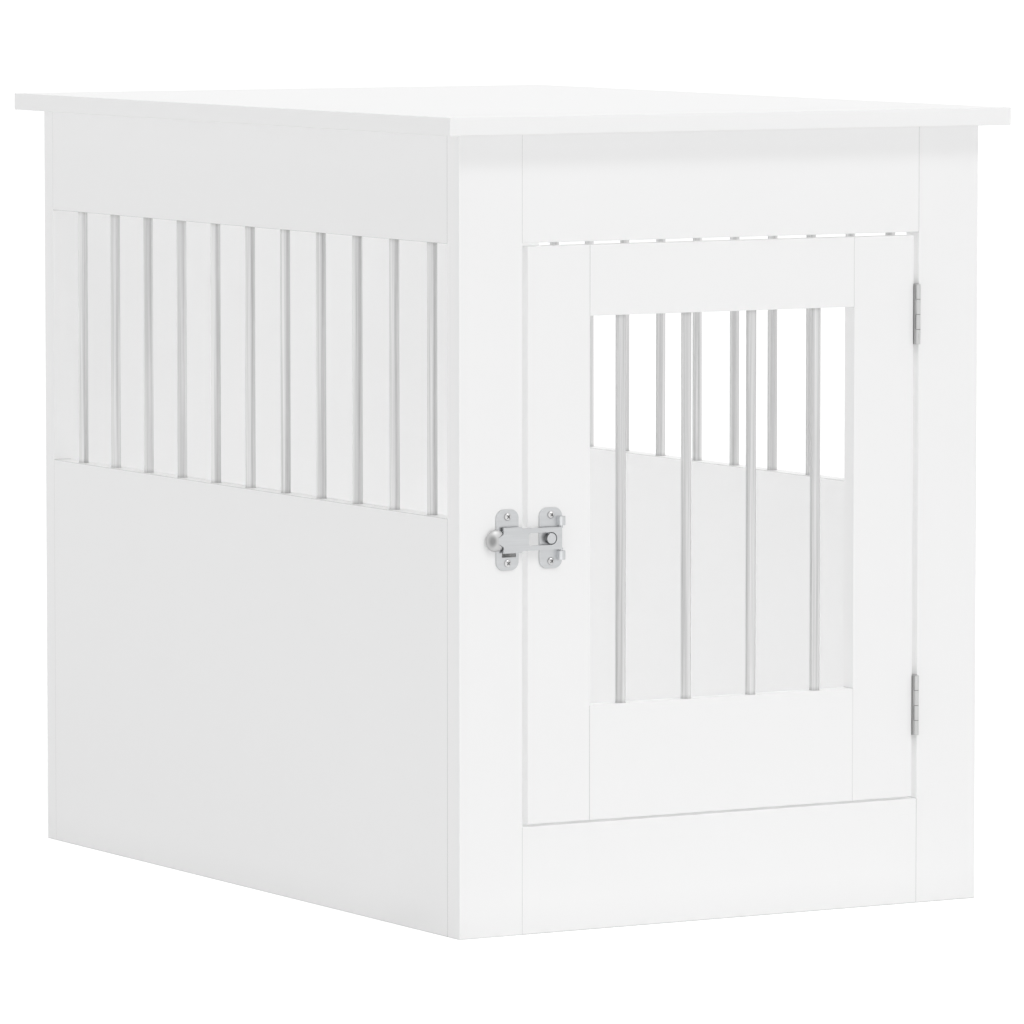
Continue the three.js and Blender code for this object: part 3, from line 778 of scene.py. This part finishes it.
class CRATE_OT_latch(bpy.types.Operator):
    """Finish the latch's plates, strap and post, and make its domed knob"""

    bl_idname = "crate.latch"
    bl_label = "Latch"

    knob_segments = 96
    knob_rings = 48
    knob_edge = 0.3 * MM
    knob_edge_steps = 2
    neck_root = 11 * MM
    neck_tip = 5 * MM
    neck_length = 5 * MM
    neck_gap = 0.3 * MM
    strap_standoff = 2.5 * MM  # free space between the plates and the strap
    left_face_light_share = 1.3  # of the sheet's colour on its left-facing cut edges and walls, as painted light
    post_wall_shade_share = 0.4  # of the post's colour on its left-facing side wall deep in the strap's window, as painted shade
    spot_shift = 4.8 * MM  # how far left of the knob's middle its painted dark reflection lies
    spot_half_width = 4.6 * MM
    spot_half_height = 7 * MM
    spot_shade = 0.45

    def execute(self, context):
        looks = context.scene.crate_metal
        # painted light on left-facing faces, and a little painted shade where the sheets meet
        # their neighbours
        sheet = brushed_material(
            "latch_satin_sheet", looks.latch_colour, lines=(60, 900, 900), roughness=0.36,
            contrast=0.03, shade=0.12, reach=1.2 * MM, depth=0.006 * MM,
            flank=self.left_face_light_share)
        for name in LATCH_SHEETS:
            dress(name, sheet, looks.sheet_edge_radius)
        # painted shade on the post's left wall and where it meets the strap
        post = brushed_material(
            "latch_post_steel", looks.latch_colour, lines=(500, 500, 500), roughness=0.36,
            contrast=0.03, shade=0.12, reach=1.2 * MM, depth=0.004 * MM,
            flank=self.post_wall_shade_share)
        dress("latch_post", post, looks.edge_radius)
        self.make_knob(looks)
        return {"FINISHED"}

    def neck_slot(self, knob_right, front):
        """The tapered slot, open to the front, that the strap's neck lies in."""
        strap_low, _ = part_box("latch_strap")
        keeper_low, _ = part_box("latch_keeper")
        middle = sum(corner.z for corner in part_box("latch_knob")) / 2
        left = strap_low.x - self.neck_gap
        right = knob_right + CUT_MARGIN
        back = keeper_low.y - self.strap_standoff + self.neck_gap
        slope = (self.neck_root - self.neck_tip) / 2 / self.neck_length
        low_half = self.neck_tip / 2 + self.neck_gap
        high_half = low_half + slope * (right - left)
        shape = bmesh.new()
        bmesh.ops.create_cube(shape, size=1)
        for corner in shape.verts:
            half = high_half if corner.co.x > 0 else low_half
            corner.co = Vector((right if corner.co.x > 0 else left,
                                back if corner.co.y > 0 else front,
                                middle + (half if corner.co.z > 0 else -half)))
        return shape

    def knob_material(self, looks, centre):
        """The knob's steel, with a soft painted dark reflection on the left of its dome."""
        spot = {"Centre": (centre.x - self.spot_shift, centre.y, centre.z),
                "Scale": (1 / self.spot_half_width, 0, 1 / self.spot_half_height)}
        # the spot is a painted dark reflection, and shade and reach add a little painted shade
        return brushed_material(
            "knob_polished_steel", looks.knob_colour, lines=(500, 500, 500), roughness=0.55,
            contrast=0.02, shade=0.12, reach=1.2 * MM, depth=0.003 * MM,
            spot=spot, spot_shade=self.spot_shade)

    def make_knob(self, looks):
        """The dome, flat at its back and towards the strap's head, with the neck's slot."""
        low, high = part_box("latch_knob")
        radius = (high.z - low.z) / 2
        rise = high.y - low.y
        centre = Vector((low.x + radius, high.y, (low.z + high.z) / 2))
        shape = bmesh.new()
        bmesh.ops.create_uvsphere(shape, u_segments=self.knob_segments,
                                  v_segments=self.knob_rings, radius=1)
        for corner in shape.verts:
            corner.co = centre + Vector((corner.co.x * radius, corner.co.z * rise,
                                         corner.co.y * radius))
        for point, normal in (((high.x, 0, 0), (1, 0, 0)), ((0, high.y, 0), (0, 1, 0))):
            geometry = shape.verts[:] + shape.edges[:] + shape.faces[:]
            cut = bmesh.ops.bisect_plane(shape, geom=geometry, plane_co=point, plane_no=normal,
                                         clear_outer=True)
            rim = [e for e in cut["geom_cut"] if isinstance(e, bmesh.types.BMEdge)]
            bmesh.ops.holes_fill(shape, edges=rim)
        bmesh.ops.recalc_face_normals(shape, faces=shape.faces)
        shape = carved(shape, [self.neck_slot(high.x, low.y - rise)])
        sharp = [e for e in shape.edges if e.calc_face_angle(0) > SHARP_ANGLE]
        bmesh.ops.bevel(shape, geom=sharp, offset=self.knob_edge, segments=self.knob_edge_steps,
                        affect="EDGES", clamp_overlap=True)
        piece = add_piece("latch_domed_knob", finished_mesh("latch_domed_knob", shape),
                          self.knob_material(looks, centre), LATCH_ARM)
        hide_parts("latch_knob")


class CRATE_OT_latch_screws(bpy.types.Operator):
    """Make the latch's four cross-recess screws"""

    bl_idname = "crate.latch_screws"
    bl_label = "Latch Screws"

    sides = 48
    rim = 0.3 * MM
    crown_steps = 8
    head_share = 0.9  # of the frame's screw head
    shank_share = 0.42  # of the head's radius
    recess_width = 1.1 * MM
    recess_span = 4.2 * MM
    recess_depth = 1.2 * MM

    def head(self, radius, height, depth):
        """A pan head on a short length of shank, about Z with its front at +height."""
        crown = [(radius * math.sin(a), self.rim + (height - self.rim) * math.cos(a))
                 for a in (step / self.crown_steps * math.pi / 2
                           for step in range(1, self.crown_steps + 1))]
        shank = radius * self.shank_share
        shape = turned([(0, height), *crown, (radius, 0), (shank, 0), (shank, -depth),
                        (0, -depth)], self.sides)
        return carved(shape, cross_cutters(self.recess_width, self.recess_span,
                                           height + CUT_MARGIN, height - self.recess_depth,
                                           math.pi / 4))

    def execute(self, context):
        looks = context.scene.crate_metal
        # shade and reach: strong painted shade round the screw heads and in their recesses
        material = brushed_material(
            "latch_screw_steel", looks.screw_colour, lines=(600, 600, 600), roughness=0.3,
            contrast=0.1, shade=0.95, reach=1.8 * MM, depth=0.004 * MM)
        plate_low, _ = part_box("latch_keeper")
        for name in nodes_of_slot("screw_steel"):
            low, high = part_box(name)
            radius = (high.x - low.x) / 2 * self.head_share
            height = plate_low.y - low.y
            shape = self.head(radius, height, high.y - plate_low.y)
            turn = Matrix.Rotation(math.pi / 2, 3, "X")
            bmesh.ops.rotate(shape, verts=shape.verts, matrix=turn)
            place = ((low.x + high.x) / 2, plate_low.y, (low.z + high.z) / 2)
            bmesh.ops.translate(shape, verts=shape.verts, vec=place)
            piece = add_piece(f"{name}_head", finished_mesh(name, shape), material,
                              body_of_node(name))
            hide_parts(name)
        return {"FINISHED"}


class CRATE_OT_stage(bpy.types.Operator):
    """Set up the floor, the light and the camera"""

    bl_idname = "crate.stage"
    bl_label = "Stage"

    floor_half = 60
    shadow_share = 0.4  # how much of the floor's look is lit surface, and so takes shadow
    open_light = 0.83  # light on the open floor, where 1 shows a white surface as white
    floor_white = 1.04
    key_direction = (0.5, -1, 1.4)  # towards the lamp
    sensor_width = 36  # millimetres
    clip_start = 0.1
    clip_end = 300

    def execute(self, context):
        looks = context.scene.crate_studio
        context.scene.view_settings.view_transform = "Standard"
        self.make_floor(context, looks)
        self.make_sky(context, looks)
        self.make_lamp(context, "key_lamp", self.key_direction, looks.key, looks.key_spread)
        self.make_fills(context, looks)
        self.make_camera(context, looks)
        return {"FINISHED"}

    def seen_directly(self, tree):
        """1 for what the camera sees, straight or in metal, and 0 for light on the crate."""
        path = tree.nodes.new("ShaderNodeLightPath")
        seen = math_node(tree, "MAXIMUM", path.outputs["Is Camera Ray"],
                         path.outputs["Is Glossy Ray"])
        return math_node(tree, "MAXIMUM", seen, path.outputs["Is Transmission Ray"])

    def make_floor(self, context, looks):
        """A floor that looks white but for its shadows, and lights the crate as grey."""
        half = self.floor_half
        mesh = bpy.data.meshes.new("studio_floor")
        mesh.from_pydata([(-half, -half, 0), (half, -half, 0), (half, half, 0), (-half, half, 0)],
                         [], [(0, 1, 2, 3)])
        material = bpy.data.materials.new("studio_floor_white")
        material.use_nodes = True
        tree = material.node_tree
        tree.nodes.clear()
        output = tree.nodes.new("ShaderNodeOutputMaterial")
        lit = tree.nodes.new("ShaderNodeBsdfDiffuse")
        lit.inputs["Color"].default_value = (*looks.floor_colour, 1)
        shadowed = tree.nodes.new("ShaderNodeBsdfDiffuse")
        share = self.shadow_share
        shadowed.inputs["Color"].default_value = (share, share, share, 1)
        glow = tree.nodes.new("ShaderNodeEmission")
        glow.inputs["Strength"].default_value = self.floor_white - share * self.open_light
        shown = tree.nodes.new("ShaderNodeAddShader")
        mix = tree.nodes.new("ShaderNodeMixShader")
        tree.links.new(shadowed.outputs[0], shown.inputs[0])
        tree.links.new(glow.outputs[0], shown.inputs[1])
        tree.links.new(self.seen_directly(tree), mix.inputs["Fac"])
        tree.links.new(lit.outputs[0], mix.inputs[1])
        tree.links.new(shown.outputs[0], mix.inputs[2])
        tree.links.new(mix.outputs[0], output.inputs["Surface"])
        mesh.materials.append(material)
        floor = bpy.data.objects.new("studio_floor", mesh)
        context.scene.collection.objects.link(floor)

    def make_sky(self, context, looks):
        """A sky that looks white, and lights the crate by its own strength."""
        world = bpy.data.worlds.new("studio_sky")
        context.scene.world = world
        world.use_nodes = True
        tree = world.node_tree
        tree.nodes.clear()
        output = tree.nodes.new("ShaderNodeOutputWorld")
        light = tree.nodes.new("ShaderNodeBackground")
        white = tree.nodes.new("ShaderNodeBackground")
        for background in (light, white):
            background.inputs["Color"].default_value = (1, 1, 1, 1)
        light.inputs["Strength"].default_value = looks.sky
        mix = tree.nodes.new("ShaderNodeMixShader")
        tree.links.new(self.seen_directly(tree), mix.inputs["Fac"])
        tree.links.new(light.outputs[0], mix.inputs[1])
        tree.links.new(white.outputs[0], mix.inputs[2])
        tree.links.new(mix.outputs[0], output.inputs["Surface"])

    def make_lamp(self, context, name, towards, strength, spread):
        """A sun lamp and its object, which shines from the direction given."""
        lamp = bpy.data.lights.new(name, "SUN")
        lamp.energy = strength
        lamp.angle = spread
        holder = bpy.data.objects.new(name, lamp)
        holder.rotation_mode = "QUATERNION"
        holder.rotation_quaternion = Vector(towards).to_track_quat("Z", "Y")
        context.scene.collection.objects.link(holder)
        return lamp, holder

    def make_fills(self, context, looks):
        """Lamps without shadows, so that gaps and the inside are nearly as light as outside."""
        for side, towards, strength in (
                ("front", (0, -1, 0), looks.front_fill), ("back", (0, 1, 0), looks.side_fill),
                ("left", (-1, 0, 0), looks.side_fill), ("right", (1, 0, 0), looks.side_fill),
                ("top", (0, 0, 1), looks.top_fill)):
            lamp, holder = self.make_lamp(
                context, f"{side}_fill", towards, strength, looks.fill_spread)
            lamp.use_shadow = False
            lamp.cycles.use_multiple_importance_sampling = False
            holder.visible_glossy = False

    def make_camera(self, context, looks):
        """The camera, looking at its target from the azimuth and elevation given."""
        back = Vector((math.sin(looks.azimuth) * math.cos(looks.elevation),
                       -math.cos(looks.azimuth) * math.cos(looks.elevation),
                       math.sin(looks.elevation)))
        lens = bpy.data.cameras.new("photo_camera")
        lens.sensor_width = self.sensor_width
        lens.lens = looks.lens
        lens.clip_start = self.clip_start
        lens.clip_end = self.clip_end
        camera = bpy.data.objects.new("photo_camera", lens)
        camera.location = Vector(looks.target) + back * looks.distance
        camera.rotation_mode = "QUATERNION"
        camera.rotation_quaternion = back.to_track_quat("Z", "Y")
        context.scene.collection.objects.link(camera)
        context.scene.camera = camera


class CRATE_PT_crate(bpy.types.Panel):
    """The crate's pieces and its stage, each with its sizes and colours"""

    bl_idname = "CRATE_PT_crate"
    bl_label = "Dog Crate"
    bl_space_type = "VIEW_3D"
    bl_region_type = "UI"
    bl_category = "Dog Crate"

    def draw(self, context):
        for group, operators in PANEL_ROWS:
            box = self.layout.box()
            looks = getattr(context.scene, group)
            for name in looks.__annotations__:
                box.prop(looks, name)
            for operator in operators:
                box.operator(operator.bl_idname)


PANEL_ROWS = (
    ("crate_boards", (CRATE_OT_cabinet_boards, CRATE_OT_door_boards)),
    ("crate_metal", (CRATE_OT_bars, CRATE_OT_hinges, CRATE_OT_latch, CRATE_OT_latch_screws)),
    ("crate_studio", (CRATE_OT_stage,)),
)

PROPERTY_GROUPS = {
    "crate_boards": CrateBoards,
    "crate_metal": CrateMetal,
    "crate_studio": CrateStudio,
}

OPERATORS = tuple(operator for _, operators in PANEL_ROWS for operator in operators)


def register():
    for name, group in PROPERTY_GROUPS.items():
        bpy.utils.register_class(group)
        setattr(bpy.types.Scene, name, bpy.props.PointerProperty(type=group))
    for kind in (*OPERATORS, CRATE_PT_crate):
        bpy.utils.register_class(kind)


def unregister():
    for kind in reversed((*OPERATORS, CRATE_PT_crate)):
        bpy.utils.unregister_class(kind)
    for name, group in PROPERTY_GROUPS.items():
        delattr(bpy.types.Scene, name)
        bpy.utils.unregister_class(group)


def main():
    """Builds the whole scene."""
    register()
    bpy.ops.crate.cabinet_boards()
    bpy.ops.crate.door_boards()
    bpy.ops.crate.bars()
    bpy.ops.crate.hinges()
    bpy.ops.crate.latch()
    bpy.ops.crate.latch_screws()
    bpy.ops.crate.stage()


if __name__ == "__main__":
    main()
